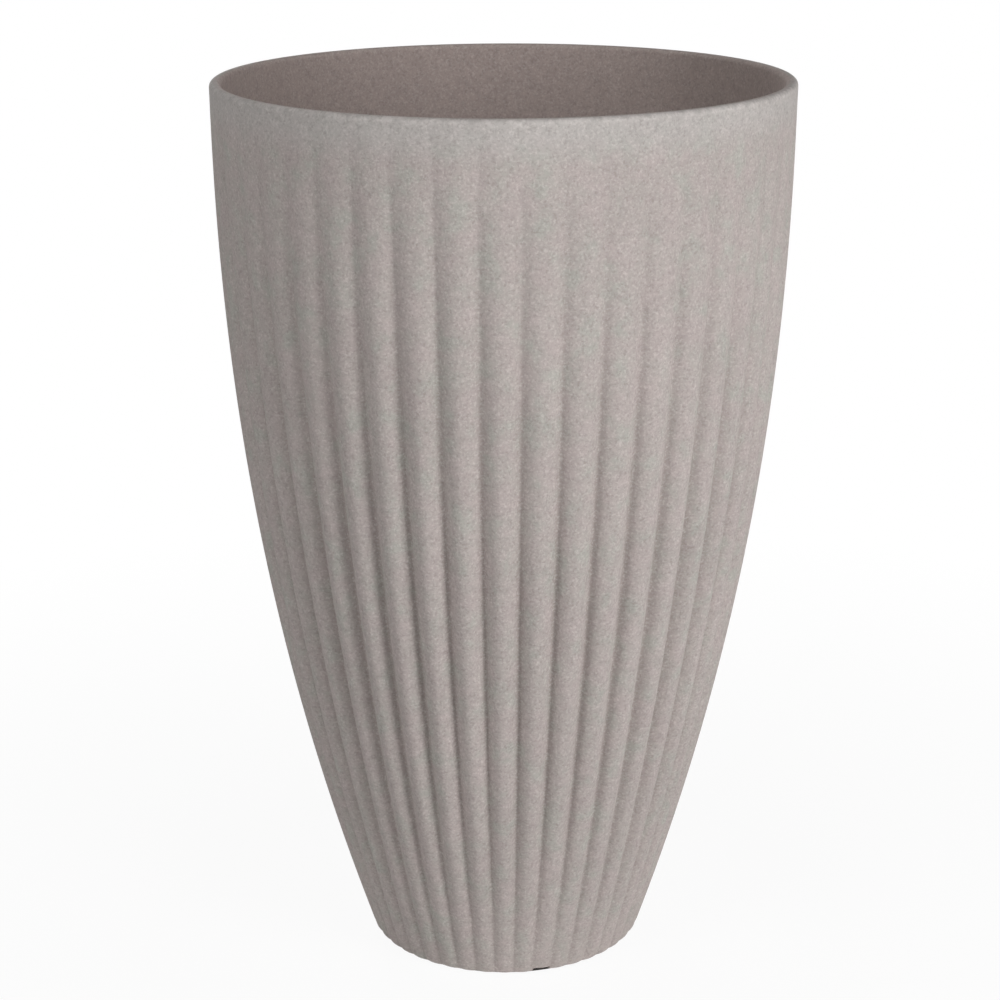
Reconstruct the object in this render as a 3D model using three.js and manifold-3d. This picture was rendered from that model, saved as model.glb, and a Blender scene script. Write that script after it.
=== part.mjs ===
// Tall fluted flower pot with a lift-out reservoir insert and three drain plugs.
// Millimetres, +Z up. The origin is the centre of the foot ring on the ground, and the front faces -Y.

import * as THREE from 'three';
import { mergeVertices } from 'three/addons/utils/BufferGeometryUtils.js';
import Module from 'manifold-3d';

// Pot shell, outside
const potHeight = 508;
const rimRadius = 161.5;
const baseRadius = 78.7;
const sideCurve = 2.08; // 1 gives a straight cone, and more gives a fuller side
const footCorner = 8; // rounding between the side and the foot
const lipRounding = 2.75; // on both edges of the lip

// Flutes: convex ribs with a groove between each two
const fluteCount = 45;
const fluteDepth = 5.9; // at the deepest level
const fluteDepthAtFoot = 0.8;
const fluteDeepestHeight = 230;
const smoothBand = 5; // plain strip under the rim
const insideFluteShare = 0.5; // the inside follows the flutes at this share of their depth

// Pot shell, inside and underneath
const wallThickness = 6.5;
const innerCorner = 12; // rounding between the floor and the wall
const floorThickness = 7;
const floorClearance = 10; // height of the hollow under the floor
const footRingWidth = 13;
const footNotchHeight = 4.2;
const footNotchFlute = 2; // the first notch is under the second flute to the right of the front one
const footNotchCount = 3;

// Drain holes and their plugs
const drainCount = 3;
const drainRadius = 8;
const drainCircle = 34; // radius of the circle that the holes lie on
const plugFit = 0.3; // radial gap between plug and hole
const plugTaper = 0.6; // the stem is this much slimmer at its tip
const plugProud = 1; // the stem stands above the floor by this
const plugFlange = 13;
const plugFlangeThickness = 2.5;
const plugGripWidth = 14;
const plugGripThickness = 3.5;
const plugGripHeight = 5;

// Reservoir disk
const reservoirHeight = 56; // floor to underside of the disk
const diskThickness = 3;
const diskClearance = 1.5; // between the disk's edge and the wall
const diskRimHeight = 5;
const diskRimThickness = 2.5;
const fingerHole = 16;
const airHole = 3;
const airRingStep = 15;
const airHoleStep = 23; // spacing of the holes along a ring

// Wick cups
const cupCount = 3;
const cupFloorMargin = 5; // flat floor left between a cup and the rounded corner of the floor
const cupBaseRadius = 14;
const cupNeckRadius = 19;
const cupWall = 2;
const cupFloor = 2.5;
const cupShoulder = 23;
const cupShoulderThickness = 2;
const cupBead = 1.3; // the snap bead stands out from the neck by this
const cupBeadHeight = 1.6;
const slotCount = 6;
const slotWidth = 3;
const slotStart = 5; // above the cup's underside
const slotEnd = 12; // below the shoulder

const seatGap = 0.3; // between two pieces that rest on each other
const through = 2; // cutters run past the faces that they cut by this

// How finely round shapes are divided
const columnsPerFlute = 4;
const outsideRows = 10;
const insideRows = 8;
const cornerSteps = 3;
const boreSides = 20;
const cupSides = 20;
const airHoleSides = 8;

const wasm = await Module();
wasm.setup();

// Working levels
const floorTop = floorClearance + floorThickness;
const diskUnderside = floorTop + reservoirHeight;
const diskTop = diskUnderside + diskThickness;
const flutePitch = 2 * Math.PI / fluteCount;

function outerRadius(height) {
  const drop = (1 - height / potHeight) ** sideCurve;
  return rimRadius - (rimRadius - baseRadius) * drop;
}

function innerRadius(height) {
  return outerRadius(height) - wallThickness;
}

// Angle of the side from upright
function sideLean(height) {
  const rise = (1 - height / potHeight) ** (sideCurve - 1);
  return Math.atan((rimRadius - baseRadius) * sideCurve * rise / potHeight);
}

function fluteDepthAt(height) {
  const fadeOut = potHeight - smoothBand;
  if (height >= fadeOut) {
    return 0;
  }
  if (height > fluteDeepestHeight) {
    const share = (height - fluteDeepestHeight) / (fadeOut - fluteDeepestHeight);
    return fluteDepth * Math.cos(share * Math.PI / 2);
  }
  const share = height / fluteDeepestHeight;
  return fluteDepthAtFoot + (fluteDepth - fluteDepthAtFoot) * Math.sin(share * Math.PI / 2);
}

// Radius of the inside where a groove brings it closest to the axis
function tightestRadius(height) {
  return innerRadius(height) - insideFluteShare * fluteDepthAt(height);
}

// How far round a flute an angle lies: 0 on its crest, 1 in the groove beside it
function offCrest(angle) {
  const turn = angle / flutePitch;
  return 2 * Math.abs(turn - Math.round(turn));
}

// Sections of the flutes, as the share of their depth: round ribs outside, soft waves inside
function ribSection(angle) {
  return offCrest(angle) ** 2;
}

function waveSection(angle) {
  return (1 - Math.cos(Math.PI * offCrest(angle))) / 2;
}

// A point at an angle from the front, turning towards +X
function around(radius, angle) {
  return [radius * Math.sin(angle), -radius * Math.cos(angle)];
}

function arc(centre, radius, from, to, steps) {
  const points = [];
  for (let step = 0; step <= steps; step += 1) {
    const angle = from + (to - from) * step / steps;
    points.push([centre[0] + radius * Math.cos(angle), centre[1] + radius * Math.sin(angle)]);
  }
  return points;
}

function rowHeights(from, to, rows) {
  const heights = [];
  for (let row = 1; row < rows; row += 1) {
    heights.push(from + (to - from) * row / rows);
  }
  return heights;
}

function toSolid(geometry) {
  const bare = geometry.clone();
  bare.deleteAttribute('normal');
  bare.deleteAttribute('uv');
  const merged = mergeVertices(bare, 1e-4);
  const vertProperties = new Float32Array(merged.attributes.position.array);
  const triVerts = new Uint32Array(merged.index.array);
  return new wasm.Manifold(new wasm.Mesh({ numProp: 3, vertProperties, triVerts }));
}

function toGeometry(solid) {
  const { vertProperties, triVerts } = solid.getMesh();
  const geometry = new THREE.BufferGeometry();
  geometry.setAttribute('position', new THREE.BufferAttribute(vertProperties, 3));
  geometry.setIndex(new THREE.BufferAttribute(triVerts, 1));
  geometry.computeVertexNormals();
  return geometry;
}

// A solid turned about the Z axis from [radius, height] points that start and end on the axis
function turned(profile, sides) {
  const points = profile.map(([radius, height]) => new THREE.Vector2(radius, height));
  const geometry = new THREE.LatheGeometry(points, sides);
  geometry.rotateX(Math.PI / 2);
  return toSolid(geometry);
}

function post(radius, bottom, top, sides, place = [0, 0]) {
  const geometry = new THREE.CylinderGeometry(radius, radius, top - bottom, sides);
  geometry.rotateX(Math.PI / 2);
  geometry.translate(place[0], place[1], (top + bottom) / 2);
  return toSolid(geometry);
}

// A bar that starts on the axis and runs outwards at an angle from the front
function spoke(width, bottom, top, start, end, angle) {
  const geometry = new THREE.BoxGeometry(width, end - start, top - bottom);
  geometry.translate(0, -(start + end) / 2, (top + bottom) / 2);
  geometry.rotateZ(angle);
  return toSolid(geometry);
}

function anglesOf(count, first) {
  return Array.from({ length: count }, (_, index) => first + index * 2 * Math.PI / count);
}

const cupAngles = anglesOf(cupCount, Math.PI);
const drainAngles = anglesOf(drainCount, 0);
const notchAngles = anglesOf(footNotchCount, footNotchFlute * flutePitch);

// Outside of the pot as [radius over the crests, height] points, from the foot to the lip
const footLean = sideLean(footCorner);
const footTangent = footCorner * (1 - Math.sin(footLean));
const footFlat = outerRadius(footTangent) - footCorner * Math.cos(footLean);

function outsideProfile() {
  const foot = arc([footFlat, footCorner], footCorner, -Math.PI / 2, -footLean, cornerSteps);
  const lipStart = potHeight - lipRounding;
  const side = rowHeights(footTangent, lipStart, outsideRows).map((height) => [outerRadius(height), height]);
  const lip = arc([rimRadius - lipRounding, lipStart], lipRounding, 0, Math.PI / 2, cornerSteps);
  return [...foot, ...side, ...lip];
}

// A closed fluted solid: a ring of points for each [radius over the crests, height] of the profile,
// with a fan to the axis at its bottom and top
function flutedSolid(profile, columns, depthShare, section) {
  const rings = profile.length;
  const positions = [0, 0, profile[0][1]];
  for (const [radius, height] of profile) {
    const depth = depthShare * fluteDepthAt(height);
    for (let column = 0; column < columns; column += 1) {
      const angle = column * 2 * Math.PI / columns;
      positions.push(...around(radius - depth * section(angle), angle), height);
    }
  }
  positions.push(0, 0, profile[rings - 1][1]);
  const lastPoint = positions.length / 3 - 1;
  const faces = [];
  for (let column = 0; column < columns; column += 1) {
    const next = (column + 1) % columns;
    faces.push(0, 1 + next, 1 + column);
    for (let ring = 0; ring < rings - 1; ring += 1) {
      const low = 1 + ring * columns;
      const high = low + columns;
      faces.push(low + column, low + next, high + next);
      faces.push(low + column, high + next, high + column);
    }
    const top = lastPoint - columns;
    faces.push(top + column, top + next, lastPoint);
  }
  const geometry = new THREE.BufferGeometry();
  geometry.setAttribute('position', new THREE.Float32BufferAttribute(positions, 3));
  geometry.setIndex(faces);
  return toSolid(geometry);
}

// Flat part of the floor inside, up to the rounded corner
const floorLean = sideLean(floorTop);
const wallStart = floorTop + innerCorner * (1 - Math.sin(floorLean));
const floorFlat = innerRadius(wallStart) - innerCorner * Math.cos(floorLean);

// Inside of the pot, from the floor to the lip, flared where it rounds the lip
function insideProfile() {
  const corner = arc([floorFlat, floorTop + innerCorner], innerCorner, -Math.PI / 2, -floorLean, cornerSteps);
  const lipStart = potHeight - lipRounding;
  const wall = rowHeights(wallStart, lipStart, insideRows).map((height) => [innerRadius(height), height]);
  const mouth = rimRadius - wallThickness + lipRounding;
  const flare = arc([mouth, lipStart], lipRounding, Math.PI, Math.PI / 2, cornerSteps);
  return [...corner, ...wall, ...flare, [mouth, potHeight + through]];
}

function footHollow() {
  const radius = footFlat - footRingWidth;
  return turned([[0, -through], [radius, -through], [radius, floorClearance], [0, floorClearance]], 2 * fluteCount);
}

function potShell() {
  const outside = flutedSolid(outsideProfile(), fluteCount * columnsPerFlute, 1, ribSection);
  const hollow = flutedSolid(insideProfile(), 2 * fluteCount, insideFluteShare, waveSection);
  let solid = outside.subtract(hollow).subtract(footHollow());
  for (const angle of drainAngles) {
    const place = around(drainCircle, angle);
    solid = solid.subtract(post(drainRadius, floorClearance - through, floorTop + through, boreSides, place));
  }
  const notchWidth = flutePitch * footFlat;
  for (const angle of notchAngles) {
    const inside = footFlat - footRingWidth - through;
    const outside = outerRadius(footNotchHeight) + through;
    solid = solid.subtract(spoke(notchWidth, -through, footNotchHeight, inside, outside, angle));
  }
  return solid;
}

const diskRadius = tightestRadius(diskUnderside) - diskClearance;
const cupCircle = floorFlat - cupFloorMargin - cupBaseRadius; // radius of the circle that the cups stand on

// Places of the air holes: rings about the finger hole, clear of the cups' shoulders
function airHolePlaces() {
  const places = [];
  const first = fingerHole + 2 * airHole;
  const last = diskRadius - diskRimThickness - 2 * airHole;
  for (let ring = first; ring <= last; ring += airRingStep) {
    const count = Math.floor(2 * Math.PI * ring / airHoleStep);
    for (const angle of anglesOf(count, 0)) {
      const place = around(ring, angle);
      const clear = cupAngles.every((cupAngle) => {
        const cup = around(cupCircle, cupAngle);
        const distance = Math.hypot(place[0] - cup[0], place[1] - cup[1]);
        return distance > cupShoulder + 1.5 * airHole;
      });
      if (clear) {
        places.push(place);
      }
    }
  }
  return places;
}

function reservoirDisk() {
  const rimTop = diskTop + diskRimHeight;
  const inside = diskRadius - diskRimThickness;
  const profile = [
    [0, diskUnderside],
    [diskRadius, diskUnderside],
    [diskRadius, rimTop],
    [inside, rimTop],
    [inside, diskTop],
    [0, diskTop],
  ];
  const low = diskUnderside - through;
  const high = diskTop + through;
  let solid = turned(profile, 3 * boreSides);
  solid = solid.subtract(post(fingerHole, low, high, boreSides));
  for (const angle of cupAngles) {
    solid = solid.subtract(post(cupNeckRadius + seatGap, low, high, cupSides, around(cupCircle, angle)));
  }
  for (const place of airHolePlaces()) {
    solid = solid.subtract(post(airHole, low, high, airHoleSides, place));
  }
  return solid;
}

// One wick cup, standing on the floor at the pot's axis
function wickCup() {
  const bottom = floorTop + seatGap;
  const shoulder = diskUnderside - seatGap;
  const beadStart = diskTop + seatGap;
  const beadEnd = beadStart + cupBeadHeight;
  const profile = [
    [0, bottom],
    [cupBaseRadius, bottom],
    [cupNeckRadius, shoulder - cupShoulderThickness],
    [cupShoulder, shoulder - cupShoulderThickness],
    [cupShoulder, shoulder],
    [cupNeckRadius, shoulder],
    [cupNeckRadius, beadStart],
    [cupNeckRadius + cupBead, beadStart],
    [cupNeckRadius, beadEnd],
    [cupNeckRadius - cupWall, beadEnd],
    [cupBaseRadius - cupWall, bottom + cupFloor],
    [0, bottom + cupFloor],
  ];
  let solid = turned(profile, cupSides);
  const slotBottom = bottom + slotStart;
  const slotTop = shoulder - slotEnd;
  for (const angle of anglesOf(slotCount, 0)) {
    solid = solid.subtract(spoke(slotWidth, slotBottom, slotTop, cupBaseRadius / 2, cupShoulder, angle));
  }
  return solid;
}

// One drain plug at the pot's axis: tapered stem, flange under the floor and a flat grip below it
function drainPlug() {
  const flangeTop = floorClearance - seatGap;
  const flangeBottom = flangeTop - plugFlangeThickness;
  const stem = drainRadius - plugFit;
  const profile = [
    [0, flangeBottom],
    [plugFlange, flangeBottom],
    [plugFlange, flangeTop],
    [stem, flangeTop],
    [stem - plugTaper, floorTop + plugProud],
    [0, floorTop + plugProud],
  ];
  const grip = new THREE.BoxGeometry(plugGripWidth, plugGripThickness, plugGripHeight + plugFlangeThickness / 2);
  grip.translate(0, 0, flangeBottom + plugFlangeThickness / 4 - plugGripHeight / 2);
  return turned(profile, boreSides).add(toSolid(grip));
}

const stoneLook = new THREE.MeshStandardMaterial({ color: 0xb0a9a5, roughness: 0.85, metalness: 0 });
const insertPlastic = new THREE.MeshStandardMaterial({ color: 0x3a3a3a, roughness: 0.6, metalness: 0 });
const plugRubber = new THREE.MeshStandardMaterial({ color: 0x1c1c1c, roughness: 0.75, metalness: 0 });

function piece(name, solid, material, place = [0, 0]) {
  const mesh = new THREE.Mesh(toGeometry(solid), material);
  mesh.name = name;
  mesh.position.set(place[0], place[1], 0);
  return mesh;
}

const pot = new THREE.Group();
pot.add(piece('pot_shell', potShell(), stoneLook));
pot.add(piece('reservoir_disk', reservoirDisk(), insertPlastic));
cupAngles.forEach((angle, index) => {
  pot.add(piece(`wick_cup_${index + 1}`, wickCup(), insertPlastic, around(cupCircle, angle)));
});
drainAngles.forEach((angle, index) => {
  pot.add(piece(`drain_plug_${index + 1}`, drainPlug(), plugRubber, around(drainCircle, angle)));
});

export default pot;
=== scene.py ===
import math

import bpy
from mathutils import Matrix, Vector


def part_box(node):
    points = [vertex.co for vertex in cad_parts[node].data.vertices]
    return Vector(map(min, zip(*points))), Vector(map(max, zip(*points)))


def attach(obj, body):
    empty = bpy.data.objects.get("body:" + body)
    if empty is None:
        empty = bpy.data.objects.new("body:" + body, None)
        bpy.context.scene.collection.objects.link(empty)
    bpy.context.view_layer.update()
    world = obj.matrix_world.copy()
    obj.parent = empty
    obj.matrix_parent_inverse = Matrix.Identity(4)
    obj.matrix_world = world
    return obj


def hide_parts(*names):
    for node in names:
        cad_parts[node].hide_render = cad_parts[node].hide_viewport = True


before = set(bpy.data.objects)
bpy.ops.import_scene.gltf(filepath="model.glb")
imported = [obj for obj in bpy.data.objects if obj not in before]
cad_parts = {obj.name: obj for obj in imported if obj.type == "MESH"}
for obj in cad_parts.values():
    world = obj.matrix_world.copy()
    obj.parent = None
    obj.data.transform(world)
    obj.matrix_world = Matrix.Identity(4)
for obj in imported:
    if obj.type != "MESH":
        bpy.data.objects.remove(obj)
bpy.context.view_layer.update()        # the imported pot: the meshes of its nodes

mm = 0.001
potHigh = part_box("pot_shell")[1]        # the highest corner
fluteCount = 45
sharpAbove = 0.6        # edges that bend by more radians than this stay crisp
print("frame: loaded, with", len(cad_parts), "nodes")


# Helpers for node trees

def feed(tree, socket, value):
    if isinstance(value, bpy.types.NodeSocket):
        tree.links.new(value, socket)
    else:
        socket.default_value = value


def addNode(tree, kind, inputs=None, **settings):
    node = tree.nodes.new(kind)
    for name, value in settings.items():
        setattr(node, name, value)
    for name, value in (inputs or {}).items():
        feed(tree, node.inputs[name], value)
    return node


def calc(tree, operation, *values):
    node = tree.nodes.new("ShaderNodeMath")
    node.operation = operation
    for socket, value in zip(node.inputs, values):
        feed(tree, socket, value)
    return node.outputs[0]


def product(tree, first, *others):
    for other in others:
        first = calc(tree, "MULTIPLY", first, other)
    return first


def mixColours(tree, share, first, second):
    node = addNode(tree, "ShaderNodeMix", data_type="RGBA")
    feed(tree, node.inputs[0], share)
    feed(tree, node.inputs[6], first)
    feed(tree, node.inputs[7], second)
    return node.outputs[2]


def ramp(tree, value, fromLow, fromHigh, toLow=0.0, toHigh=1.0):
    node = addNode(tree, "ShaderNodeMapRange", {
        "Value": value, "From Min": fromLow, "From Max": fromHigh, "To Min": toLow, "To Max": toHigh})
    return node.outputs[0]


def newTree(name, kind, inputs, outputs):
    tree = bpy.data.node_groups.new(name, kind)
    for label, socketType, default in inputs:
        socket = tree.interface.new_socket(label, in_out="INPUT", socket_type=socketType)
        if default is not None:
            socket.default_value = default
    for label, socketType in outputs:
        tree.interface.new_socket(label, in_out="OUTPUT", socket_type=socketType)
    given = tree.nodes.new("NodeGroupInput").outputs
    result = tree.nodes.new("NodeGroupOutput").inputs
    return tree, given, result


def addModifier(obj, tree, values):
    modifier = obj.modifiers.new(tree.name, "NODES")
    modifier.node_group = tree
    for item in tree.interface.items_tree:
        if item.in_out == "INPUT" and item.name in values:
            modifier[item.identifier] = values[item.name]


# Helpers for outlines and places

def arc(centre, radius, fromDegrees, toDegrees, steps):
    points = []
    for step in range(steps + 1):
        angle = math.radians(fromDegrees + (toDegrees - fromDegrees) * step / steps)
        points.append((centre[0] + radius * math.cos(angle), centre[1] + radius * math.sin(angle)))
    return points


def between(start, end, steps):        # the points of a line, without its ends
    across, up = end[0] - start[0], end[1] - start[1]
    return [(start[0] + across * step / steps, start[1] + up * step / steps) for step in range(1, steps)]


def around(radius, angle):        # the angle starts at the front and turns towards +X
    return Vector((radius * math.sin(angle), -radius * math.cos(angle), 0))


def anglesOf(count, first=0.0):
    return [first + index * 2 * math.pi / count for index in range(count)]


def centreOf(low, high):
    return Vector(((low.x + high.x) / 2, (low.y + high.y) / 2, 0))


# Helpers for objects

def newObject(name, points, edges=(), faces=()):
    mesh = bpy.data.meshes.new(name)
    mesh.from_pydata([tuple(point) for point in points], list(edges), list(faces))
    obj = bpy.data.objects.new(name, mesh)
    bpy.context.scene.collection.objects.link(obj)
    return obj


def setPointValues(obj, name, values):
    attribute = obj.data.attributes.new(name, "FLOAT", "POINT")
    attribute.data.foreach_set("value", values)


def outlineObject(name, outline, ribbed=None, waved=None):
    points = [(radius, 0, height) for radius, height in outline]
    obj = newObject(name, points, edges=[(k, k + 1) for k in range(len(points) - 1)])
    setPointValues(obj, "ribbed", ribbed or [0.0] * len(points))
    setPointValues(obj, "waved", waved or [0.0] * len(points))
    return obj


def placesObject(name, places, turns=None):
    obj = newObject(name, places)
    setPointValues(obj, "turn", turns or [0.0] * len(places))
    return obj


def bake(obj):        # the modifiers' result becomes the object's own plain mesh
    dependencies = bpy.context.evaluated_depsgraph_get()
    mesh = bpy.data.meshes.new_from_object(obj.evaluated_get(dependencies))
    mesh.name = obj.name
    while mesh.materials and mesh.materials[0] is None:
        mesh.materials.pop(index=0)
    obj.modifiers.clear()
    old = obj.data
    obj.data = mesh
    bpy.data.meshes.remove(old)
    return obj


def discard(*objs):
    for obj in objs:
        mesh = obj.data
        bpy.data.objects.remove(obj)
        bpy.data.meshes.remove(mesh)


# The last nodes of every modelling tree: soft shading with crisp corners, real geometry, the finish

def finishTree(tree, mesh, given, result):
    soft = addNode(tree, "GeometryNodeSetShadeSmooth", {"Geometry": mesh, "Shade Smooth": True}).outputs[0]
    bend = addNode(tree, "GeometryNodeInputMeshEdgeAngle").outputs["Unsigned Angle"]
    corner = addNode(tree, "FunctionNodeCompare", {"A": bend, "B": given["Sharp Above"]},
                     operation="GREATER_THAN").outputs[0]
    crisp = addNode(tree, "GeometryNodeSetShadeSmooth", {
        "Geometry": soft, "Selection": corner, "Shade Smooth": False}, domain="EDGE").outputs[0]
    real = addNode(tree, "GeometryNodeRealizeInstances", {"Geometry": crisp}).outputs[0]
    painted = addNode(tree, "GeometryNodeSetMaterial", {"Geometry": real, "Material": given["Finish"]})
    tree.links.new(painted.outputs[0], result[0])


# Turns an outline round the axis. Where the outline is marked, it gets flutes: ribs outside, waves inside.

def makeTurningTree():
    tree, given, result = newTree("turnOutline", "GeometryNodeTree", [
        ("Outline", "NodeSocketGeometry", None),
        ("Sides", "NodeSocketInt", 64),
        ("Flutes", "NodeSocketInt", 16),
        ("Flute Depth", "NodeSocketFloat", 0.0),
        ("Depth At Foot", "NodeSocketFloat", 0.0),
        ("Deepest Height", "NodeSocketFloat", 1.0),
        ("Fade Height", "NodeSocketFloat", 2.0),
        ("Groove Rounding", "NodeSocketFloat", 0.2),
        ("Seam", "NodeSocketFloat", 0.002 * mm),        # points closer than this become one
        ("Sharp Above", "NodeSocketFloat", sharpAbove),
        ("Finish", "NodeSocketMaterial", None),
    ], [("Mesh", "NodeSocketGeometry")])

    size = addNode(tree, "GeometryNodeAttributeDomainSize", {"Geometry": given["Outline"]})
    rows = size.outputs["Point Count"]
    columns = calc(tree, "ADD", given["Sides"], 1)
    grid = addNode(tree, "GeometryNodeMeshGrid", {
        "Vertices X": columns, "Vertices Y": rows}).outputs["Mesh"]
    index = addNode(tree, "GeometryNodeInputIndex").outputs[0]
    column = calc(tree, "FLOOR", calc(tree, "DIVIDE", calc(tree, "ADD", index, 0.5), rows))
    row = calc(tree, "SUBTRACT", index, calc(tree, "MULTIPLY", column, rows))

    def onOutline(value, dataType):
        sample = addNode(tree, "GeometryNodeSampleIndex", {"Geometry": given["Outline"], "Index": row},
                         data_type=dataType)
        tree.links.new(value, sample.inputs["Value"])
        return sample.outputs["Value"]

    def mark(name):
        named = addNode(tree, "GeometryNodeInputNamedAttribute", {"Name": name}, data_type="FLOAT")
        return onOutline(named.outputs["Attribute"], "FLOAT")

    place = onOutline(addNode(tree, "GeometryNodeInputPosition").outputs[0], "FLOAT_VECTOR")
    outline = addNode(tree, "ShaderNodeSeparateXYZ", {"Vector": place}).outputs
    height = outline["Z"]

    # Columns crowd towards the grooves, where the section turns fastest
    flute = calc(tree, "DIVIDE", calc(tree, "MULTIPLY", column, given["Flutes"]), given["Sides"])
    crest = calc(tree, "FLOOR", calc(tree, "ADD", flute, 0.5))
    even = calc(tree, "MULTIPLY", calc(tree, "SUBTRACT", flute, crest), 2)
    side = calc(tree, "SINE", calc(tree, "MULTIPLY", even, math.pi / 2))
    turn = calc(tree, "ADD", crest, calc(tree, "MULTIPLY", side, 0.5))
    angle = calc(tree, "DIVIDE", calc(tree, "MULTIPLY", turn, 2 * math.pi), given["Flutes"])

    # Rib: a round crest, and a groove that is rounded at its bottom
    offCrest = calc(tree, "ABSOLUTE", side)
    crestShare = calc(tree, "SUBTRACT", 1, given["Groove Rounding"])
    crestPart = calc(tree, "DIVIDE", calc(tree, "POWER", offCrest, 2), crestShare)
    toGroove = calc(tree, "POWER", calc(tree, "SUBTRACT", 1, offCrest), 2)
    groovePart = calc(tree, "SUBTRACT", 1, calc(tree, "DIVIDE", toGroove, given["Groove Rounding"]))
    inGroove = calc(tree, "GREATER_THAN", offCrest, crestShare)
    rib = addNode(tree, "ShaderNodeMix", {"Factor": inGroove, "A": crestPart, "B": groovePart}).outputs[0]
    halfTurn = calc(tree, "COSINE", calc(tree, "MULTIPLY", offCrest, math.pi))
    wave = calc(tree, "MULTIPLY", calc(tree, "SUBTRACT", 1, halfTurn), 0.5)
    section = calc(tree, "ADD", calc(tree, "MULTIPLY", rib, mark("ribbed")),
                   calc(tree, "MULTIPLY", wave, mark("waved")))

    # Depth: grows from the foot to the deepest level, then runs out under the smooth band
    def share(value, whole):
        return addNode(tree, "ShaderNodeClamp", {"Value": calc(tree, "DIVIDE", value, whole)}).outputs[0]

    rise = calc(tree, "SINE", calc(tree, "MULTIPLY", share(height, given["Deepest Height"]), math.pi / 2))
    fadeLength = calc(tree, "SUBTRACT", given["Fade Height"], given["Deepest Height"])
    aboveDeepest = calc(tree, "SUBTRACT", height, given["Deepest Height"])
    fade = calc(tree, "COSINE", calc(tree, "MULTIPLY", share(aboveDeepest, fadeLength), math.pi / 2))
    gain = calc(tree, "SUBTRACT", given["Flute Depth"], given["Depth At Foot"])
    groove = product(tree, calc(tree, "MULTIPLY_ADD", gain, rise, given["Depth At Foot"]), fade, section)

    radius = calc(tree, "SUBTRACT", outline["X"], groove)
    x = calc(tree, "MULTIPLY", radius, calc(tree, "SINE", angle))
    y = product(tree, radius, calc(tree, "COSINE", angle), -1)
    position = addNode(tree, "ShaderNodeCombineXYZ", {"X": x, "Y": y, "Z": height}).outputs[0]
    turned = addNode(tree, "GeometryNodeSetPosition", {"Geometry": grid, "Position": position}).outputs[0]
    closed = addNode(tree, "GeometryNodeMergeByDistance", {"Geometry": turned, "Distance": given["Seam"]})
    finishTree(tree, closed.outputs[0], given, result)
    return tree


# Cuts one shape out at each of a set of places

def makeCuttingTree():
    tree, given, result = newTree("cutAtPlaces", "GeometryNodeTree", [
        ("Body", "NodeSocketGeometry", None),
        ("Cutter", "NodeSocketObject", None),
        ("Places", "NodeSocketObject", None),
        ("Sharp Above", "NodeSocketFloat", sharpAbove),
        ("Finish", "NodeSocketMaterial", None),
    ], [("Mesh", "NodeSocketGeometry")])
    cutter = addNode(tree, "GeometryNodeObjectInfo", {"Object": given["Cutter"]}).outputs["Geometry"]
    places = addNode(tree, "GeometryNodeObjectInfo", {"Object": given["Places"]}).outputs["Geometry"]
    turn = addNode(tree, "GeometryNodeInputNamedAttribute", {"Name": "turn"}, data_type="FLOAT")
    rotation = addNode(tree, "ShaderNodeCombineXYZ", {"Z": turn.outputs["Attribute"]}).outputs[0]
    copies = addNode(tree, "GeometryNodeInstanceOnPoints", {
        "Points": places, "Instance": cutter, "Rotation": rotation}).outputs[0]
    solidCopies = addNode(tree, "GeometryNodeRealizeInstances", {"Geometry": copies}).outputs[0]
    cut = addNode(tree, "GeometryNodeMeshBoolean", {"Mesh 1": given["Body"], "Mesh 2": solidCopies},
                  operation="DIFFERENCE", solver="MANIFOLD")
    finishTree(tree, cut.outputs["Mesh"], given, result)
    return tree


turningTree = makeTurningTree()
cuttingTree = makeCuttingTree()


def turnedObject(name, outline, sides, finish=None):
    obj = outlineObject(name, outline)
    addModifier(obj, turningTree, {
        "Sides": sides, "Flutes": sides // 4, "Sharp Above": sharpAbove, "Finish": finish})
    return bake(obj)


def holeCutter(radius, low, high, bevel, sides):        # a drill with a chamfer at both faces
    reach = 2 * mm
    mouth = radius + bevel + reach
    outline = [(0, low - reach), (mouth, low - reach), (radius, low + bevel), (radius, high - bevel),
               (mouth, high + reach), (0, high + reach)]
    return turnedObject("holeCutter", outline, sides)


def makeBar(section, near, far):        # a bar with an (x, z) section, which runs towards the front
    count = len(section)
    points = [(x, -near, z) for x, z in section] + [(x, -far, z) for x, z in section]
    faces = [tuple(reversed(range(count))), tuple(range(count, 2 * count))]
    faces += [(k, (k + 1) % count, count + (k + 1) % count, count + k) for k in range(count)]
    return newObject("bar", points, faces=faces)


def cutAll(obj, cutter, places, finish, turns=None):
    placed = placesObject("places", places, turns)
    addModifier(obj, cuttingTree, {
        "Cutter": cutter, "Places": placed, "Sharp Above": sharpAbove, "Finish": finish})
    bake(obj)
    discard(cutter, placed)


def setPiece(obj, node, body):
    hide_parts(node)
    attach(obj, body)


print("modelling trees: made")


# Shared finishes: sandy grain in plastic, with painted shade, sheen and highlights, and the fine grain of a
# moulded piece

noiseRange = (0.3, 0.7)        # nearly all values of a noise lie between these

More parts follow.
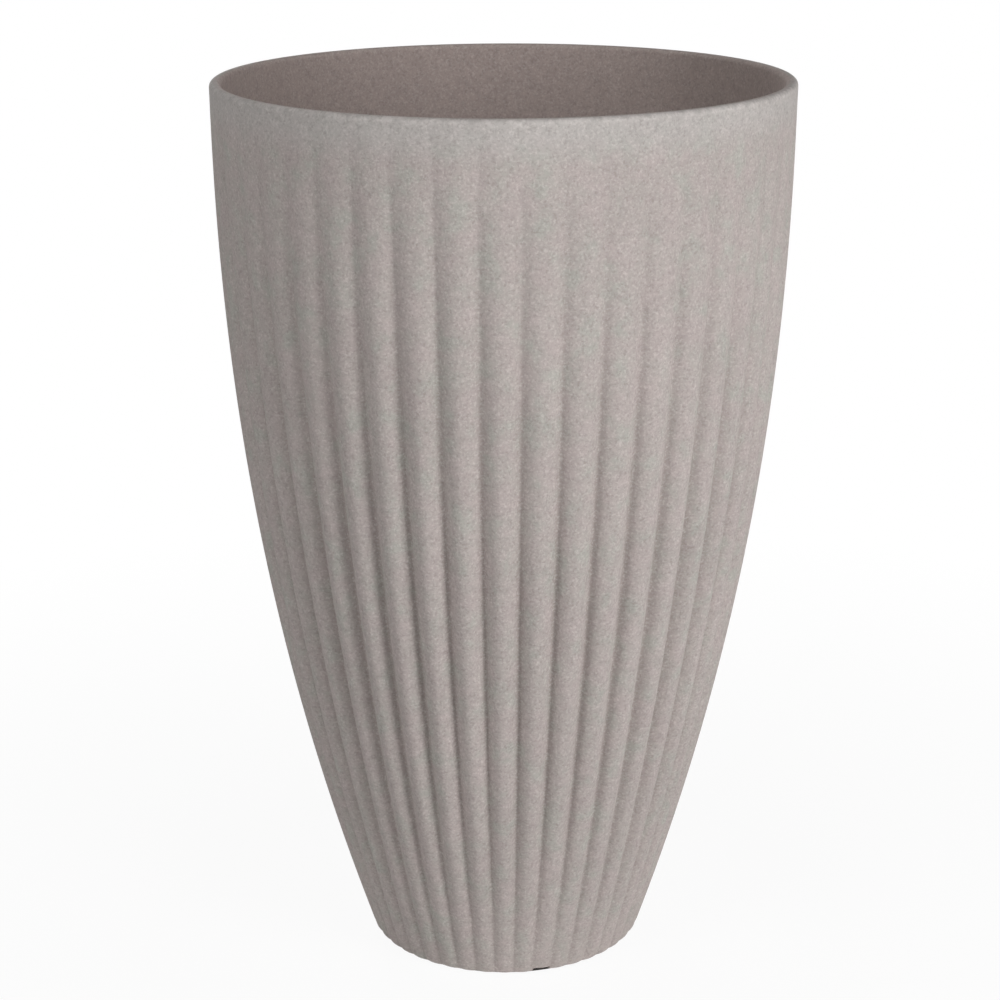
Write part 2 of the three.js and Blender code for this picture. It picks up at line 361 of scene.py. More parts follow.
sandSettings = {        # a pair tells where a mask starts and where it is full
    "darkGrain": 0.83,        # this and the mottles have their scale as a share of the light grain's
    "mottles": 0.28,
    "clouds": 70.0,
    "drift": 16.0,
    "grainMask": (0.50, 0.70),
    "warmMask": (0.48, 0.62),
    "coolMask": (0.46, 0.34),
    # breaks the painted highlight on the rim's outer edge into specks, like rubbed wear
    "highlightSpeckMask": (0.35, 0.60),
    "insideInward": (-0.02, -0.06),        # outward: the normal's part away from the axis, times the radius
    "edgeOutward": (0.02, 0.06),
    "edgeBelowRim": (3.5 * mm, 2 * mm),
    # the sheen keys: a painted cool reflection in a band under the rim
    "sheenOutward": (0.0, 0.06),
    "sheenBelowRim": (24 * mm, 8 * mm),
    "sheenShare": 0.8,
    # the groove shade keys: painted shade in the grooves
    "grooveShadeOutward": (0.01, 0.03),
    "grooveShadeBelowRim": (20 * mm, 240 * mm),
    "grooveShadeAboveFoot": (30 * mm, 180 * mm),
    "grooveShadeAtFoot": 0.5,        # against the painted groove shade higher up
    "grooveShadeOffCrest": (0.62, 1.0),        # 0 on a crest and 1 in a groove
    "grooveShadePower": 1.3,
    "driftBrightness": (0.97, 1.03),
    "roughness": (0.92, 0.80),
    "pitting": 0.6,        # how far the dark grain sinks, against the light grain
}


def makeSandTree(s):
    tree, given, result = newTree("sandGrain", "ShaderNodeTree", [
        ("Base", "NodeSocketColor", (0.4, 0.36, 0.34, 1)),
        # this colour is the light grain and also the painted highlight on the rim's outer edge
        ("Light Grain", "NodeSocketColor", (0.7, 0.68, 0.66, 1)),
        # this colour is the dark grain and also the painted shade in the grooves
        ("Dark Grain", "NodeSocketColor", (0.18, 0.15, 0.14, 1)),
        ("Warm Tint", "NodeSocketColor", (0.45, 0.38, 0.38, 1)),
        ("Cool Tint", "NodeSocketColor", (0.40, 0.41, 0.38, 1)),
        # a painted tint for the shade on the inner wall
        ("Inside Tint", "NodeSocketColor", (0.42, 0.37, 0.35, 1)),
        ("Grain Scale", "NodeSocketFloat", 900.0),
        ("Light Share", "NodeSocketFloat", 0.3),
        ("Dark Share", "NodeSocketFloat", 0.3),
        ("Tint Share", "NodeSocketFloat", 0.3),
        ("Mottling", "NodeSocketFloat", 0.03),
        # the colour of a painted cool reflection in a band under the rim
        ("Rim Tint", "NodeSocketColor", (0.44, 0.42, 0.40, 1)),
        ("Rim Height", "NodeSocketFloat", 0.5),
        # a painted highlight, with some wear, on the rim's outer edge
        ("Rim Wear", "NodeSocketFloat", 0.3),
        ("Flutes", "NodeSocketFloat", 16.0),
        # how much painted shade darkens the grooves
        ("Groove Dust", "NodeSocketFloat", 0.3),
    ], [("Color", "NodeSocketColor"), ("Roughness", "NodeSocketFloat"), ("Height", "NodeSocketFloat")])
    where = addNode(tree, "ShaderNodeTexCoord").outputs["Object"]

    def noise(offset, scale, detail):        # the offsets keep the patterns apart
        moved = addNode(tree, "ShaderNodeVectorMath", {0: where, 1: offset}, operation="ADD").outputs[0]
        return addNode(tree, "ShaderNodeTexNoise", {
            "Vector": moved, "Scale": scale, "Detail": detail, "Roughness": 0.6}).outputs[0]

    fine = noise((0, 0, 0), given["Grain Scale"], 2.0)
    second = noise((3.1, 7.7, 1.9), calc(tree, "MULTIPLY", given["Grain Scale"], s["darkGrain"]), 2.0)
    mottles = noise((6.6, 1.7, 3.3), calc(tree, "MULTIPLY", given["Grain Scale"], s["mottles"]), 1.0)
    clouds = noise((5.3, 2.2, 8.1), s["clouds"], 3.0)
    drift = noise((9.4, 6.1, 4.7), s["drift"], 2.0)

    # The inner wall faces the axis. It is painted a little browner than the outside, a painted tint for the
    # shade inside the pot.
    normal = addNode(tree, "ShaderNodeNewGeometry").outputs["Normal"]
    flat = addNode(tree, "ShaderNodeVectorMath", {0: where, 1: (1, 1, 0)}, operation="MULTIPLY").outputs[0]
    across = addNode(tree, "ShaderNodeVectorMath", {0: flat, 1: normal}, operation="DOT_PRODUCT")
    outward = across.outputs["Value"]
    inside = ramp(tree, outward, *s["insideInward"])

    # The rim: a painted cool sheen in a band under it, and a painted highlight with some wear on its outer
    # edge
    place = addNode(tree, "ShaderNodeSeparateXYZ", {"Vector": where}).outputs
    belowRim = calc(tree, "SUBTRACT", given["Rim Height"], place["Z"])
    band = product(tree, ramp(tree, belowRim, *s["sheenBelowRim"]), ramp(tree, outward, *s["sheenOutward"]),
                   s["sheenShare"])
    # A painted highlight on the rim's outer edge, broken into specks like rubbed wear
    rimHighlightAndWear = product(tree, ramp(tree, belowRim, *s["edgeBelowRim"]), ramp(tree, outward, *s["edgeOutward"]),
                   ramp(tree, mottles, *s["highlightSpeckMask"]), given["Rim Wear"])

    # Painted shade in the grooves, in the dark grain's colour, less of it where they run out
    turn = calc(tree, "ARCTAN2", place["X"], calc(tree, "MULTIPLY", place["Y"], -1))
    flute = calc(tree, "MULTIPLY", turn, calc(tree, "DIVIDE", given["Flutes"], 2 * math.pi))
    offCrest = calc(tree, "MULTIPLY", calc(tree, "PINGPONG", flute, 0.5), 2)
    inGroove = calc(tree, "POWER", ramp(tree, offCrest, *s["grooveShadeOffCrest"]), s["grooveShadePower"])
    aboveFoot = ramp(tree, place["Z"], *s["grooveShadeAboveFoot"], s["grooveShadeAtFoot"], 1.0)
    grooveShade = product(tree, inGroove, ramp(tree, belowRim, *s["grooveShadeBelowRim"]), aboveFoot,
                   ramp(tree, outward, *s["grooveShadeOutward"]), given["Groove Dust"])

    # The colours, one laid over the other
    warm = calc(tree, "MULTIPLY", ramp(tree, clouds, *s["warmMask"]), given["Tint Share"])
    cool = calc(tree, "MULTIPLY", ramp(tree, clouds, *s["coolMask"]), given["Tint Share"])
    lightGrain = ramp(tree, fine, *s["grainMask"], 0.0, given["Light Share"])
    darkGrain = ramp(tree, second, *s["grainMask"], 0.0, given["Dark Share"])
    colour = given["Base"]
    # painted light and shade among these layers: the rim sheen, the inside tint, the rim highlight and the
    # groove shade
    layers = [(warm, "Warm Tint"), (cool, "Cool Tint"), (band, "Rim Tint"), (inside, "Inside Tint"),
              (rimHighlightAndWear, "Light Grain"), (grooveShade, "Dark Grain"),
              (lightGrain, "Light Grain"), (darkGrain, "Dark Grain")]
    for share, tint in layers:
        colour = mixColours(tree, share, colour, given[tint])
    spread = calc(tree, "MULTIPLY_ADD", calc(tree, "SUBTRACT", mottles, 0.5), given["Mottling"], 1.0)
    brightness = calc(tree, "MULTIPLY", spread, ramp(tree, drift, *noiseRange, *s["driftBrightness"]))
    shaded = addNode(tree, "ShaderNodeHueSaturation", {"Value": brightness, "Color": colour}).outputs[0]
    tree.links.new(shaded, result["Color"])
    tree.links.new(ramp(tree, fine, *noiseRange, *s["roughness"]), result["Roughness"])
    tree.links.new(calc(tree, "SUBTRACT", fine, calc(tree, "MULTIPLY", second, s["pitting"])),
                   result["Height"])
    return tree


mouldedSettings = {
    "smears": 45.0,
    "smearMask": (0.42, 0.72),
    "upwards": (0.3, 0.95),        # the upward part of the normal, from a side to a level top
    "dustOnSides": 0.25,        # against a level top
}


def makeMouldedTree(s):
    tree, given, result = newTree("mouldedGrain", "ShaderNodeTree", [
        ("Base", "NodeSocketColor", (0.02, 0.02, 0.02, 1)),
        ("Dust", "NodeSocketColor", (0.2, 0.18, 0.16, 1)),
        ("Dust Share", "NodeSocketFloat", 0.2),
        ("Grain Scale", "NodeSocketFloat", 1500.0),
        ("Gloss From", "NodeSocketFloat", 0.45),
        ("Gloss To", "NodeSocketFloat", 0.6),
    ], [("Color", "NodeSocketColor"), ("Roughness", "NodeSocketFloat"), ("Height", "NodeSocketFloat")])
    where = addNode(tree, "ShaderNodeTexCoord").outputs["Object"]
    grain = addNode(tree, "ShaderNodeTexNoise", {
        "Vector": where, "Scale": given["Grain Scale"], "Detail": 2.0}).outputs[0]
    smears = addNode(tree, "ShaderNodeTexNoise", {
        "Vector": where, "Scale": s["smears"], "Detail": 4.0}).outputs[0]
    normal = addNode(tree, "ShaderNodeNewGeometry").outputs["Normal"]
    facing = addNode(tree, "ShaderNodeSeparateXYZ", {"Vector": normal}).outputs["Z"]
    upwards = ramp(tree, facing, *s["upwards"], s["dustOnSides"], 1.0)
    dusty = product(tree, ramp(tree, smears, *s["smearMask"]), upwards, given["Dust Share"])
    rough = ramp(tree, smears, *noiseRange, given["Gloss From"], given["Gloss To"])
    tree.links.new(mixColours(tree, dusty, given["Base"], given["Dust"]), result["Color"])
    tree.links.new(rough, result["Roughness"])
    tree.links.new(grain, result["Height"])
    return tree


def makeMaterial(name, groupTree, settings):
    material = bpy.data.materials.new(name)
    material.use_nodes = True
    tree = material.node_tree
    shader = tree.nodes["Principled BSDF"]
    group = addNode(tree, "ShaderNodeGroup", node_tree=groupTree)
    for label, value in settings["group"].items():
        group.inputs[label].default_value = value
    tree.links.new(group.outputs["Color"], shader.inputs["Base Color"])
    tree.links.new(group.outputs["Roughness"], shader.inputs["Roughness"])
    bump = addNode(tree, "ShaderNodeBump", {
        "Height": group.outputs["Height"], "Distance": settings["bumpDepth"],
        "Strength": settings["bumpStrength"]})
    tree.links.new(bump.outputs[0], shader.inputs["Normal"])
    shader.inputs["Specular IOR Level"].default_value = settings["specular"]
    return material


sandTree = makeSandTree(sandSettings)
mouldedTree = makeMouldedTree(mouldedSettings)

stoneLook = makeMaterial("stoneLook", sandTree, {
    "group": {
        "Base": (0.436, 0.392, 0.371, 1),
        # the light grain's colour is also the painted highlight on the rim's outer edge
        "Light Grain": (0.72, 0.68, 0.65, 1),
        # the dark grain's colour is also the painted shade in the grooves
        "Dark Grain": (0.22, 0.185, 0.17, 1),
        "Warm Tint": (0.455, 0.388, 0.378, 1),
        "Cool Tint": (0.410, 0.415, 0.375, 1),
        # a painted tint for the shade on the inner wall
        "Inside Tint": (0.457, 0.378, 0.352, 1),
        "Grain Scale": 760.0,
        "Light Share": 0.34,
        "Dark Share": 0.34,
        "Tint Share": 0.6,
        "Mottling": 0.25,
        # a painted cool reflection in a band under the rim
        "Rim Tint": (0.462, 0.437, 0.420, 1),
        "Rim Height": potHigh.z,
        # a painted highlight, with some wear, on the rim's outer edge
        "Rim Wear": 0.25,
        "Flutes": fluteCount,
        # painted shade in the grooves
        "Groove Dust": 0.5,
    },
    "bumpDepth": 0.3 * mm,
    "bumpStrength": 0.3,
    "specular": 0.25,
})
insertPlastic = makeMaterial("insertPlastic", mouldedTree, {
    "group": {
        "Base": (0.024, 0.024, 0.025, 1),
        "Dust": (0.14, 0.12, 0.10, 1),
        "Dust Share": 0.25,
        "Grain Scale": 1600.0,
        "Gloss From": 0.52,
        "Gloss To": 0.62,
    },
    "bumpDepth": 0.08 * mm,
    "bumpStrength": 0.5,
    "specular": 0.35,
})
plugRubber = makeMaterial("plugRubber", mouldedTree, {
    "group": {
        "Base": (0.024, 0.023, 0.022, 1),
        "Dust": (0.16, 0.14, 0.12, 1),
        "Dust Share": 0.15,
        "Grain Scale": 2400.0,
        "Gloss From": 0.62,
        "Gloss To": 0.78,
    },
    "bumpDepth": 0.05 * mm,
    "bumpStrength": 0.6,
    "specular": 0.35,
})
print("finishes: made")


# Pot shell

potSettings = {
    "height": potHigh.z,
    "rimRadius": potHigh.x,
    "baseRadius": 78.7 * mm,
    "sideCurve": 2.08,
    "footCorner": 8 * mm,
    "lipRounding": 2.75 * mm,
    "flutes": fluteCount,
    "columnsPerFlute": 14,
    "fluteDepth": 5.9 * mm,
    "depthAtFoot": 0.8 * mm,
    "deepestHeight": 230 * mm,
    "smoothBand": 5 * mm,
    "grooveRounding": 0.15,
    "insideFluteShare": 0.5,
    "wall": 6.5 * mm,
    "innerCorner": 12 * mm,
    "floorTop": 17 * mm,
    "footHollow": 10 * mm,
    "footRingWidth": 13 * mm,
    "footEdge": 1.2 * mm,
    "hollowCorner": 3 * mm,
    "notchHeight": 4.2 * mm,
    "notchCorner": 1 * mm,
    "notchFlute": 2,
    "notches": 3,
    "drainHoles": 3,
    "drainRadius": 8 * mm,
    "drainCircle": 34 * mm,
    "drainBevel": 0.6 * mm,
    "drainSides": 48,
    "outsideRows": 60,
    "insideRows": 24,
    "sharpAbove": 0.7,        # radians, more than the flutes bend at a groove
    "cutReach": 3 * mm,        # how far the notches' cutter goes past the foot ring
}


def outerRadius(s, height):
    drop = (1 - height / s["height"]) ** s["sideCurve"]
    return s["rimRadius"] - (s["rimRadius"] - s["baseRadius"]) * drop


def sideLean(s, height):        # degrees from upright
    rise = (1 - height / s["height"]) ** (s["sideCurve"] - 1)
    return math.degrees(math.atan((s["rimRadius"] - s["baseRadius"]) * s["sideCurve"] * rise / s["height"]))


def footFlatRadius(s):
    lean = sideLean(s, s["footCorner"])
    tangent = s["footCorner"] * (1 - math.sin(math.radians(lean)))
    return outerRadius(s, tangent) - s["footCorner"] * math.cos(math.radians(lean)), tangent, lean


def potOutline(s):
    footFlat, tangent, lean = footFlatRadius(s)
    ringInside = footFlat - s["footRingWidth"]
    corner = s["hollowCorner"]
    edge = s["footEdge"]
    under = [(0, s["footHollow"])]
    under += between((0, s["footHollow"]), (ringInside - corner, s["footHollow"]), 4)
    under += arc((ringInside - corner, s["footHollow"] - corner), corner, 90, 0, 5)
    under += arc((ringInside + edge, edge), edge, 180, 270, 4)

    lipStart = s["height"] - s["lipRounding"]
    foot = arc((footFlat, s["footCorner"]), s["footCorner"], -90, -lean, 8)
    side = [(outerRadius(s, h), h) for _, h in between((0, tangent), (0, lipStart), s["outsideRows"])]
    lip = arc((s["rimRadius"] - s["lipRounding"], lipStart), s["lipRounding"], 0, 90, 8)
    outside = foot + side + lip

    floorLean = sideLean(s, s["floorTop"])
    wallStart = s["floorTop"] + s["innerCorner"] * (1 - math.sin(math.radians(floorLean)))
    floorFlat = outerRadius(s, wallStart) - s["wall"] - s["innerCorner"] * math.cos(math.radians(floorLean))
    inside = arc((s["rimRadius"] - s["wall"] + s["lipRounding"], lipStart), s["lipRounding"], 90, 180, 8)
    inside += [(outerRadius(s, h) - s["wall"], h)
               for _, h in between((0, lipStart), (0, wallStart), s["insideRows"])]
    inside += arc((floorFlat, s["floorTop"] + s["innerCorner"]), s["innerCorner"], -floorLean, -90, 8)
    floor = between((floorFlat, s["floorTop"]), (0, s["floorTop"]), 5) + [(0, s["floorTop"])]

    ribbed = [0.0] * len(under) + [1.0] * len(outside) + [0.0] * len(inside + floor)
    waved = [0.0] * len(under + outside) + [s["insideFluteShare"]] * len(inside) + [0.0] * len(floor)
    return under + outside + inside + floor, ribbed, waved


def notchSection(s, width):        # an arch that is open below
    half = width / 2
    top = s["notchHeight"]
    corner = s["notchCorner"]
    section = [(-half, -top), (half, -top)]
    section += arc((half - corner, top - corner), corner, 0, 90, 5)
    section += arc((-half + corner, top - corner), corner, 90, 180, 5)
    return section


def makePot(s):
    outline, ribbed, waved = potOutline(s)
    obj = outlineObject("stonePot", outline, ribbed, waved)
    addModifier(obj, turningTree, {
        "Sides": s["flutes"] * s["columnsPerFlute"], "Flutes": s["flutes"], "Flute Depth": s["fluteDepth"],
        "Depth At Foot": s["depthAtFoot"], "Deepest Height": s["deepestHeight"],
        "Fade Height": s["height"] - s["smoothBand"], "Groove Rounding": s["grooveRounding"],
        "Sharp Above": s["sharpAbove"], "Finish": stoneLook})
    bake(obj)
    footFlat = footFlatRadius(s)[0]
    pitch = 2 * math.pi / s["flutes"]
    notch = makeBar(notchSection(s, pitch * footFlat), footFlat - s["footRingWidth"] - s["cutReach"],
                    outerRadius(s, s["notchHeight"]) + s["cutReach"])
    notchTurns = anglesOf(s["notches"], s["notchFlute"] * pitch)
    cutAll(obj, notch, [(0, 0, 0)] * s["notches"], stoneLook, notchTurns)
    drain = holeCutter(s["drainRadius"], s["footHollow"], s["floorTop"], s["drainBevel"], s["drainSides"])
    cutAll(obj, drain, [around(s["drainCircle"], angle) for angle in anglesOf(s["drainHoles"])], stoneLook)
    setPiece(obj, "pot_shell", "pot")
    return obj


pot = makePot(potSettings)
print("pot shell: made, with", len(pot.data.polygons), "faces")


# Reservoir disk

diskLow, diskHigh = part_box("reservoir_disk")
diskSettings = {
    "radius": diskHigh.x,
    "underside": diskLow.z,
    "rimTop": diskHigh.z,
    "thickness": 3 * mm,
    "rimThickness": 2.5 * mm,
    "edge": 0.6 * mm,
    "fillet": 1.5 * mm,
    "fingerHole": 16 * mm,        # the holes are given by their radius
    "fingerBevel": 0.8 * mm,
    "airHole": 3 * mm,
    "airRingStep": 15 * mm,
    "airHoleStep": 23 * mm,
    "cupGap": 0.3 * mm,
    "bevel": 0.4 * mm,
    "sides": 144,
    "fingerSides": 64,
    "cupHoleSides": 72,
    "airHoleSides": 20,
}

cupSettings = {
    "baseRadius": 14 * mm,
    "neckRadius": 19 * mm,
    "wall": 2 * mm,
    "floor": 2.5 * mm,
    "shoulder": 23 * mm,
    "shoulderThickness": 2 * mm,
    "shoulderGap": 0.3 * mm,        # between the shoulder and the disk's underside
    "beadStart": 1.6 * mm,        # below the cup's top
    "bead": 1.3 * mm,
    "edge": 0.5 * mm,
    "slots": 6,
    "slotWidth": 3 * mm,
    "slotStart": 5 * mm,
    "slotEnd": 12 * mm,        # below the shoulder
    "sides": 72,
}

cupNodes = [name for name in sorted(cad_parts) if name.startswith("wick_cup")]
cupCentres = [centreOf(*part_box(name)) for name in cupNodes]


def airHolePlaces(s):        # rings about the finger hole, clear of the cups' shoulders
    places = []
    ring = s["fingerHole"] + 2 * s["airHole"]
    while ring <= s["radius"] - s["rimThickness"] - 2 * s["airHole"]:
        for angle in anglesOf(int(2 * math.pi * ring / s["airHoleStep"])):
            place = around(ring, angle)
            room = cupSettings["shoulder"] + 1.5 * s["airHole"]
            if all((place - centre).length > room for centre in cupCentres):
                places.append(place)
        ring += s["airRingStep"]
    return places


def makeDisk(s):
    top = s["underside"] + s["thickness"]
    radius = s["radius"]
    edge = s["edge"]
    inside = radius - s["rimThickness"]
    outline = [(0, s["underside"])] + between((0, s["underside"]), (radius - edge, s["underside"]), 4)
    outline += arc((radius - edge, s["underside"] + edge), edge, -90, 0, 4)
    outline += arc((radius - edge, s["rimTop"] - edge), edge, 0, 90, 4)
    outline += arc((inside + edge, s["rimTop"] - edge), edge, 90, 180, 4)
    outline += arc((inside - s["fillet"], top + s["fillet"]), s["fillet"], 0, -90, 5)
    outline += between((inside - s["fillet"], top), (0, top), 4) + [(0, top)]
    obj = turnedObject("reservoirDisk", outline, s["sides"], insertPlastic)

    finger = holeCutter(s["fingerHole"], s["underside"], top, s["fingerBevel"], s["fingerSides"])
    cutAll(obj, finger, [(0, 0, 0)], insertPlastic)
    cupHoleRadius = cupSettings["neckRadius"] + s["cupGap"]
    cupHole = holeCutter(cupHoleRadius, s["underside"], top, s["bevel"], s["cupHoleSides"])
    cutAll(obj, cupHole, cupCentres, insertPlastic)
    airHole = holeCutter(s["airHole"], s["underside"], top, s["bevel"], s["airHoleSides"])
    cutAll(obj, airHole, airHolePlaces(s), insertPlastic)
    setPiece(obj, "reservoir_disk", "insert")


makeDisk(diskSettings)
print("reservoir disk: made, with", len(airHolePlaces(diskSettings)), "air holes")


# Wick cups

def cupOutline(s, bottom, top, shoulderTop):
    edge = s["edge"]
    base = s["baseRadius"]
    neck = s["neckRadius"]
    shoulderLow = shoulderTop - s["shoulderThickness"]
    beadLow = top - s["beadStart"]
    outline = [(0, bottom)] + between((0, bottom), (base - edge, bottom), 3)
    outline += arc((base - 2 * edge, bottom + 2 * edge), 2 * edge, -90, 0, 4)
    outline += [(neck - edge, shoulderLow - edge), (neck, shoulderLow)]
    outline += arc((s["shoulder"] - edge, shoulderLow + edge), edge, -90, 0, 4)
    outline += arc((s["shoulder"] - edge, shoulderTop - edge), edge, 0, 90, 4)
    outline += [(neck, shoulderTop), (neck, beadLow)]
    outline += arc((neck + s["bead"] - edge, beadLow + edge), edge, -90, 45, 4)
    outline += arc((neck - edge, top - edge), edge, 45, 90, 2)
    outline += arc((neck - s["wall"] + edge, top - edge), edge, 90, 180, 3)
    inner = base - s["wall"]
    floor = bottom + s["floor"]
    outline += arc((inner - 2 * edge, floor + 2 * edge), 2 * edge, 0, -90, 4)
    outline += between((inner - 2 * edge, floor), (0, floor), 3) + [(0, floor)]
    return outline


def slotSection(s, low, high):        # an upright slot with round ends
    half = s["slotWidth"] / 2
    return arc((0, high - half), half, 0, 180, 8) + arc((0, low + half), half, 180, 360, 8)


def makeCup(s, node, number):
    low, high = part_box(node)
    shoulderTop = diskSettings["underside"] - s["shoulderGap"]
    outline = cupOutline(s, low.z, high.z, shoulderTop)
    obj = turnedObject("wickCup" + str(number), outline, s["sides"], insertPlastic)
    slot = makeBar(slotSection(s, low.z + s["slotStart"], shoulderTop - s["slotEnd"]),
                   s["baseRadius"] / 2, s["shoulder"])
    cutAll(obj, slot, [(0, 0, 0)] * s["slots"], insertPlastic, anglesOf(s["slots"]))
    obj.data.transform(Matrix.Translation(centreOf(low, high)))
    setPiece(obj, node, "insert")
    return obj


cups = [makeCup(cupSettings, name, number + 1) for number, name in enumerate(cupNodes)]
print("wick cups:", len(cups), "made")


# Drain plugs

plugSettings = {
    "stemRadius": 7.7 * mm,
    "taper": 0.6 * mm,
    "flangeThickness": 2.5 * mm,
    "gripHeight": 5 * mm,
    "gripWidth": 14 * mm,
    "gripThickness": 3.5 * mm,
    "gripCorner": 2 * mm,
    "edge": 0.6 * mm,
    "edgeSteps": 3,
    "sides": 64,
}


def makeGrip(s, low, flangeLow):        # a flat tab that reaches into the flange
    half = s["gripWidth"] / 2
    corner = s["gripCorner"]
    top = flangeLow + s["flangeThickness"] / 2
    section = [(-half, top)] + arc((-half + corner, low + corner), corner, 180, 270, 6)
    section += arc((half - corner, low + corner), corner, 270, 360, 6) + [(half, top)]
    grip = makeBar(section, -s["gripThickness"] / 2, s["gripThickness"] / 2)
    bevel = grip.modifiers.new("edges", "BEVEL")
    bevel.width = s["edge"]
    bevel.segments = s["edgeSteps"]
    bevel.limit_method = "ANGLE"
    return bake(grip)


def makePlug(s, node, number):
    low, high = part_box(node)
    edge = s["edge"]
    flangeRadius = (high.x - low.x) / 2
    flangeLow = low.z + s["gripHeight"]
    flangeTop = flangeLow + s["flangeThickness"]
    stem = s["stemRadius"]
    tip = stem - s["taper"]
    outline = [(0, flangeLow)] + between((0, flangeLow), (flangeRadius - edge, flangeLow), 3)
    outline += arc((flangeRadius - edge, flangeLow + edge), edge, -90, 0, 4)
    outline += arc((flangeRadius - edge, flangeTop - edge), edge, 0, 90, 4)
    outline += [(stem, flangeTop)]
    outline += between((stem, flangeTop), (tip, high.z - edge), 3)
    outline += arc((tip - edge, high.z - edge), edge, 0, 90, 4) + [(0, high.z)]
    obj = turnedObject("drainPlug" + str(number), outline, s["sides"], plugRubber)
    grip = makeGrip(s, low.z, flangeLow)
    join = obj.modifiers.new("grip", "BOOLEAN")
    join.operation = "UNION"
    join.solver = "MANIFOLD"
    join.object = grip
    bake(obj)
    discard(grip)
    obj.data.transform(Matrix.Translation(centreOf(low, high)))
    setPiece(obj, node, "plug_" + str(number))
    return obj


plugNodes = [name for name in sorted(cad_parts) if name.startswith("drain_plug")]
plugs = [makePlug(plugSettings, name, number + 1) for number, name in enumerate(plugNodes)]
print("drain plugs:", len(plugs), "made")


# Camera

cameraSettings = {
    "distance": 1.3886,
    "side": -0.0027,
    "height": 0.6868,
    "pitchDown": 16.92,
    "roll": -0.19,
    "azimuth": 0.8,        # round the pot from its front, towards +X
    "focalPixels": 2505.6,
    "imageWidth": 1000,        # pixels
    "sensorWidth": 36.0,
    "clipEnd": 50,
}


def makeCamera(s):
    data = bpy.data.cameras.new("camera")
    data.sensor_fit = "HORIZONTAL"
    data.sensor_width = s["sensorWidth"]
    data.lens = s["focalPixels"] / s["imageWidth"] * s["sensorWidth"]
    data.clip_end = s["clipEnd"]
    camera = bpy.data.objects.new("camera", data)
    bpy.context.scene.collection.objects.link(camera)
    turn = Matrix.Rotation(math.radians(s["azimuth"]), 4, "Z")
    tilt = Matrix.Rotation(math.radians(90 - s["pitchDown"]), 4, "X")
    roll = Matrix.Rotation(math.radians(s["roll"]), 4, "Z")
    place = Matrix.Translation((s["side"], -s["distance"], s["height"]))
    camera.matrix_world = turn @ place @ tilt @ roll
    bpy.context.scene.camera = camera


# Floor, world and lamps

floorSettings = {
    "halfSize": 20.0,
    "colour": (0.92, 0.92, 0.92, 1),
    "paintedShadowColour": (0.12, 0.11, 0.11, 1),        # a painted shadow under the foot
    "roughness": 0.9,
    "darkMargin": 1.5 * mm,        # the painted shadow reaches this far outside the foot's flat
    "glowNear": 0.93,        # the glow's share in what the camera sees; the rest is the lit floor
    "glowFar": 1.0,
    "nearPot": 0.2,
    "farFromPot": 0.8,
}

lightSettings = {        # azimuths in degrees from the front, sizes in metres, powers in watts
    "world": 0.0,
    "stands": {
        "low": {"height": 0.35, "away": 1.8, "width": 0.6, "tall": 1.1},
        "high": {"height": 1.4, "away": 1.4, "width": 0.8, "tall": 0.8},
    },
    "lamps": {
        "keyLamp": {"stand": "low", "azimuth": 50, "power": 12.3},
        "frontLamp": {"stand": "low", "azimuth": 40, "power": 4.7},
        "fillLamp": {"stand": "low", "azimuth": -50, "power": 3.3},
        "sideLamp": {"stand": "low", "azimuth": 120, "power": 1.4},
        "backLamp": {"stand": "low", "azimuth": -165, "power": 12},
        "highRightLamp": {"stand": "high", "azimuth": 40, "power": 8.3},
        "highLeftLamp": {"stand": "high", "azimuth": -40, "power": 8.4},
        "highBackLamp": {"stand": "high", "azimuth": -160, "power": 2.4},
    },
    "beams": {        # narrow lamps on the axis: up at the underside, and down at the reservoir disk
        "underLamp": {"height": -0.5, "beam": 17, "softness": 0.03, "power": 4},
        "insideLamp": {"height": 2.2, "beam": 6, "softness": 0.05, "power": 45},
    },
}


def makeLamp(name, s, stand):
    data = bpy.data.lights.new(name, "AREA")
    data.shape = "RECTANGLE"
    data.size = stand["width"]
    data.size_y = stand["tall"]
    data.energy = s["power"]
    lamp = bpy.data.objects.new(name, data)
    bpy.context.scene.collection.objects.link(lamp)
    place = around(stand["away"], math.radians(s["azimuth"])) + Vector((0, 0, stand["height"]))
    aim = Vector((0, 0, potSettings["height"] / 2)) - place
    lamp.location = place
    lamp.rotation_euler = aim.to_track_quat("-Z", "Y").to_euler()


def makeBeam(name, s):        # shines up where it stands under the floor, and else down
    data = bpy.data.lights.new(name, "SPOT")
    data.spot_size = math.radians(s["beam"])
    data.shadow_soft_size = s["softness"]
    data.energy = s["power"]
    lamp = bpy.data.objects.new(name, data)
    bpy.context.scene.collection.objects.link(lamp)
    lamp.location = (0, 0, s["height"])
    lamp.rotation_euler = (math.pi if s["height"] < 0 else 0, 0, 0)


def cameraSees(tree):        # 1 for rays that show the backdrop, straight or in a reflection
    path = addNode(tree, "ShaderNodeLightPath").outputs
    seen = calc(tree, "MAXIMUM", path["Is Camera Ray"], path["Is Glossy Ray"])
    return calc(tree, "MAXIMUM", seen, path["Is Transmission Ray"])


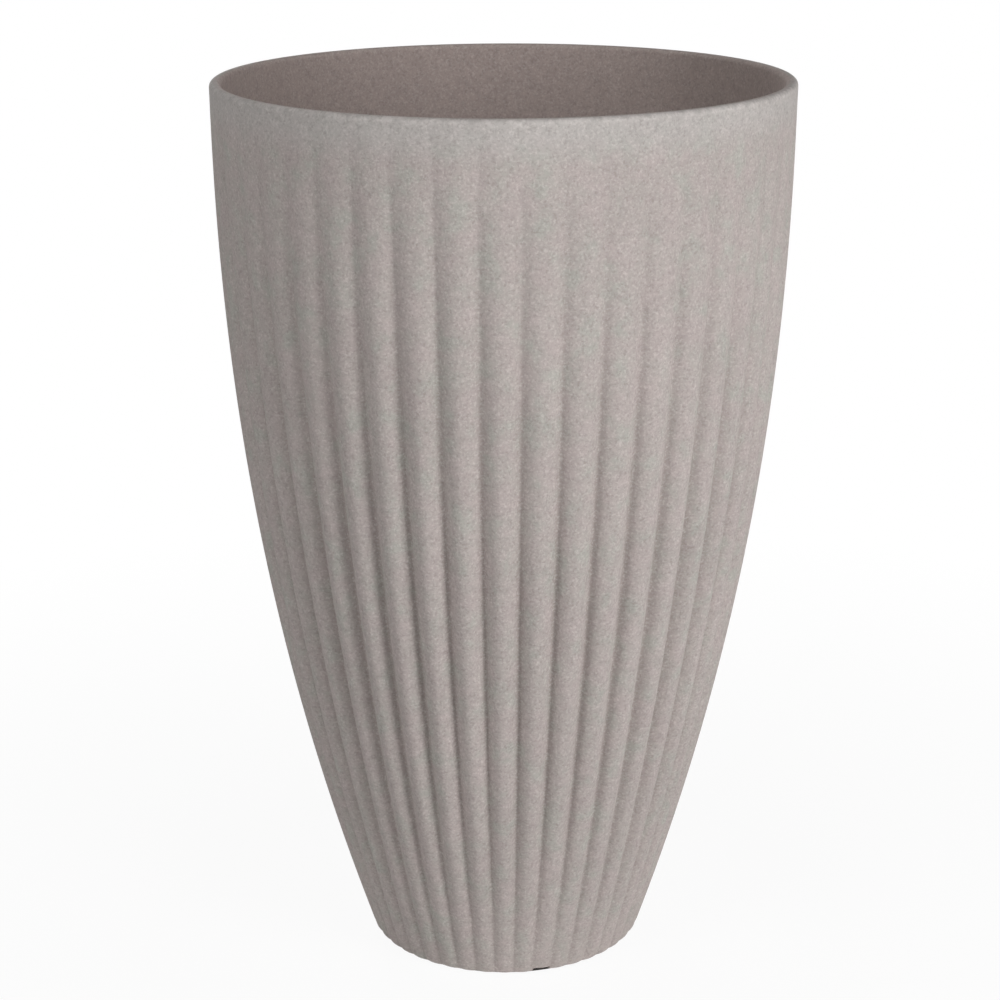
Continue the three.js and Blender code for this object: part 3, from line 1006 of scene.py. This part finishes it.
def makeFloor(s):
    half = s["halfSize"]
    floor = newObject("floor", [(-half, -half, 0), (half, -half, 0), (half, half, 0), (-half, half, 0)],
                      faces=[(0, 1, 2, 3)])
    material = bpy.data.materials.new("paleFloor")
    material.use_nodes = True
    tree = material.node_tree
    where = addNode(tree, "ShaderNodeTexCoord").outputs["Object"]
    fromAxis = addNode(tree, "ShaderNodeVectorMath", {0: where}, operation="LENGTH").outputs["Value"]
    # The floor inside and close to the pot's foot is painted dark, a painted shadow for the pot's shade
    # there, and doesn't glow there
    outside = calc(tree, "GREATER_THAN", fromAxis, footFlatRadius(potSettings)[0] + s["darkMargin"])
    shader = tree.nodes["Principled BSDF"]
    colour = mixColours(tree, outside, s["paintedShadowColour"], s["colour"])
    tree.links.new(colour, shader.inputs["Base Color"])
    shader.inputs["Roughness"].default_value = s["roughness"]
    glow = addNode(tree, "ShaderNodeEmission", {"Color": (1, 1, 1, 1), "Strength": 1.0})
    share = ramp(tree, fromAxis, s["nearPot"], s["farFromPot"], s["glowNear"], s["glowFar"])
    blend = addNode(tree, "ShaderNodeMixShader", {"Fac": product(tree, cameraSees(tree), outside, share)})
    tree.links.new(shader.outputs[0], blend.inputs[1])
    tree.links.new(glow.outputs[0], blend.inputs[2])
    # From below the floor is clear, and lets the lamp under it through, so that the underside can be seen
    clear = addNode(tree, "ShaderNodeBsdfTransparent")
    shadowRay = addNode(tree, "ShaderNodeLightPath").outputs["Is Shadow Ray"]
    fromBelow = addNode(tree, "ShaderNodeNewGeometry").outputs["Backfacing"]
    seeThrough = addNode(tree, "ShaderNodeMixShader", {"Fac": calc(tree, "MAXIMUM", fromBelow, shadowRay)})
    tree.links.new(blend.outputs[0], seeThrough.inputs[1])
    tree.links.new(clear.outputs[0], seeThrough.inputs[2])
    tree.links.new(seeThrough.outputs[0], tree.nodes["Material Output"].inputs["Surface"])
    floor.data.materials.append(material)


def makeWorld(s):
    world = bpy.data.worlds.new("studio")
    world.use_nodes = True
    tree = world.node_tree
    background = tree.nodes["Background"]
    background.inputs["Color"].default_value = (1, 1, 1, 1)
    strength = addNode(tree, "ShaderNodeMix", {"Factor": cameraSees(tree), "A": s["world"], "B": 1.0})
    tree.links.new(strength.outputs[0], background.inputs["Strength"])
    bpy.context.scene.world = world


makeCamera(cameraSettings)
makeFloor(floorSettings)
makeWorld(lightSettings)
for lampName, lampSettings in lightSettings["lamps"].items():
    makeLamp(lampName, lampSettings, lightSettings["stands"][lampSettings["stand"]])
for lampName, beamSettings in lightSettings["beams"].items():
    makeBeam(lampName, beamSettings)
bpy.context.scene.view_settings.view_transform = "Standard"
print("camera, floor and lamps: placed")
